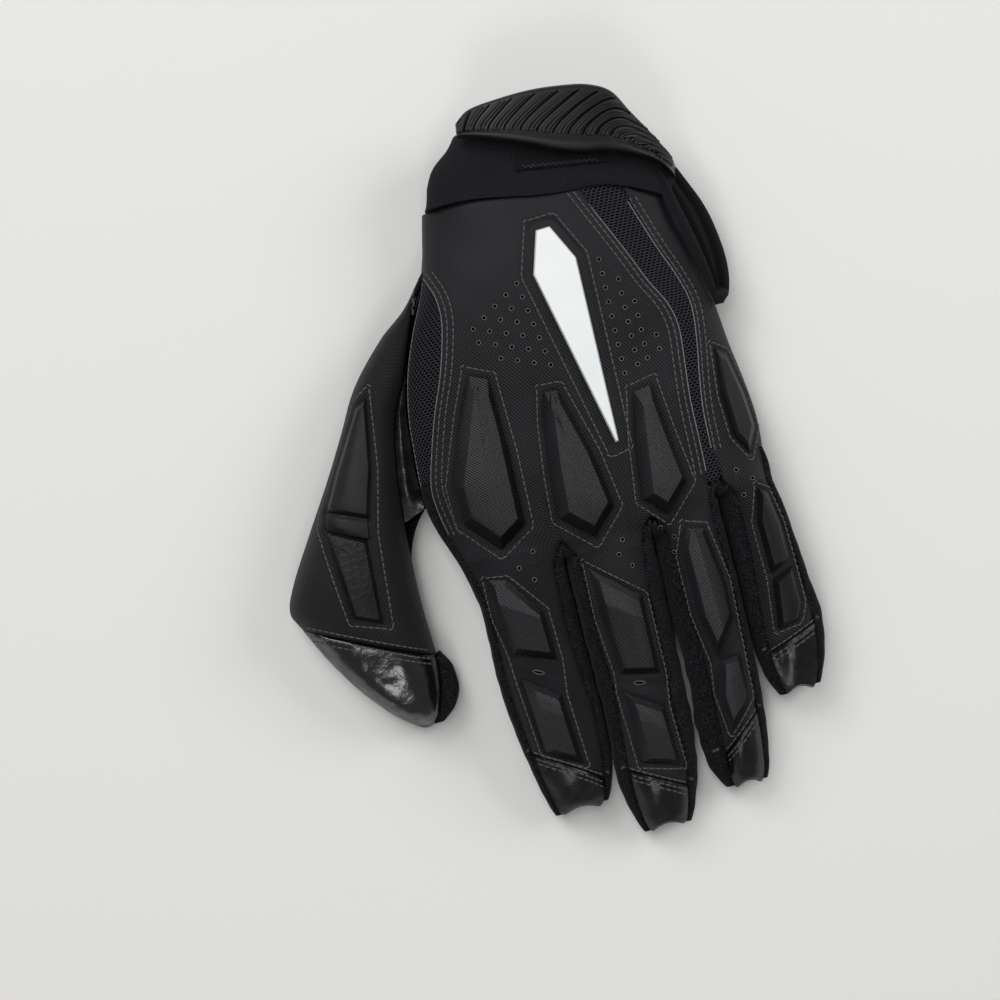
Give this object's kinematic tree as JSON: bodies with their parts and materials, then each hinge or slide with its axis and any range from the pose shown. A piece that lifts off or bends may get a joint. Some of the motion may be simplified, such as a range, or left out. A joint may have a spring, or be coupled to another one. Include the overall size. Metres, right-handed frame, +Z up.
{
  "type": "lineman football glove",
  "caption": "Padded left-hand sports glove for a lineman: moulded pads over the back, coated palm, stretch strips between the fingers, ribbed wrist strap, lying palm down",
  "frame": {"origin": "on the resting surface, under the middle of the flat palm", "axes": "+Z up out of the back of the glove, +Y from the fingertips to the wrist, +X towards the little finger"},
  "size_m": [0.1516, 0.2183, 0.0321],
  "materials": {
    "back_textile": "black coarse woven textile with a slight sheen",
    "moulded_textile": "black woven textile moulded over foam",
    "coated_leather": "black high-gloss tacky coating, softly wrinkled",
    "tip_leather": "black semi-gloss synthetic leather",
    "spacer_mesh": "black open spacer mesh",
    "stretch_knit": "black matte stretch knit",
    "neoprene": "black smooth knit-faced neoprene",
    "loop_cloth": "black fuzzy loop cloth",
    "pad_rubber": "dark grey matte moulded rubber",
    "strap_rubber": "black satin moulded rubber",
    "white_print": "white glossy heat-bonded film"
  },
  "bodies": {
    "root": {"back_panel": "back_textile", "outer_panel": "back_textile", "thumb_back": "back_textile", "palm": "coated_leather", "thumb_palm": "coated_leather", "thumb_web": "coated_leather", "thumb_gusset": "spacer_mesh", "outer_gusset": "spacer_mesh", "fingertip_index": "tip_leather", "fingertip_middle": "tip_leather", "fingertip_ring": "tip_leather", "fingertip_little": "tip_leather", "thumb_tip": "coated_leather", "fourchette_index_middle": "stretch_knit", "fourchette_middle_ring": "stretch_knit", "fourchette_ring_little": "stretch_knit", "index_side": "stretch_knit", "little_side": "stretch_knit", "thumb_side": "stretch_knit", "knuckle_pad_index": "moulded_textile", "knuckle_pad_middle": "moulded_textile", "knuckle_pad_ring": "moulded_textile", "knuckle_pad_outer": "pad_rubber", "index_pad_near": "moulded_textile", "index_pad_far": "moulded_textile", "middle_pad_near": "moulded_textile", "middle_pad_far": "moulded_textile", "ring_pad_near": "moulded_textile", "ring_pad_far": "moulded_textile", "little_pad_near": "pad_rubber", "little_pad_far": "pad_rubber", "thumb_pad_near": "pad_rubber", "thumb_pad_far": "pad_rubber", "emblem": "white_print", "cuff": "neoprene", "loop_patch": "loop_cloth", "wrist_strap": "strap_rubber", "side_tab": "neoprene"}
  },
  "joints": []
}
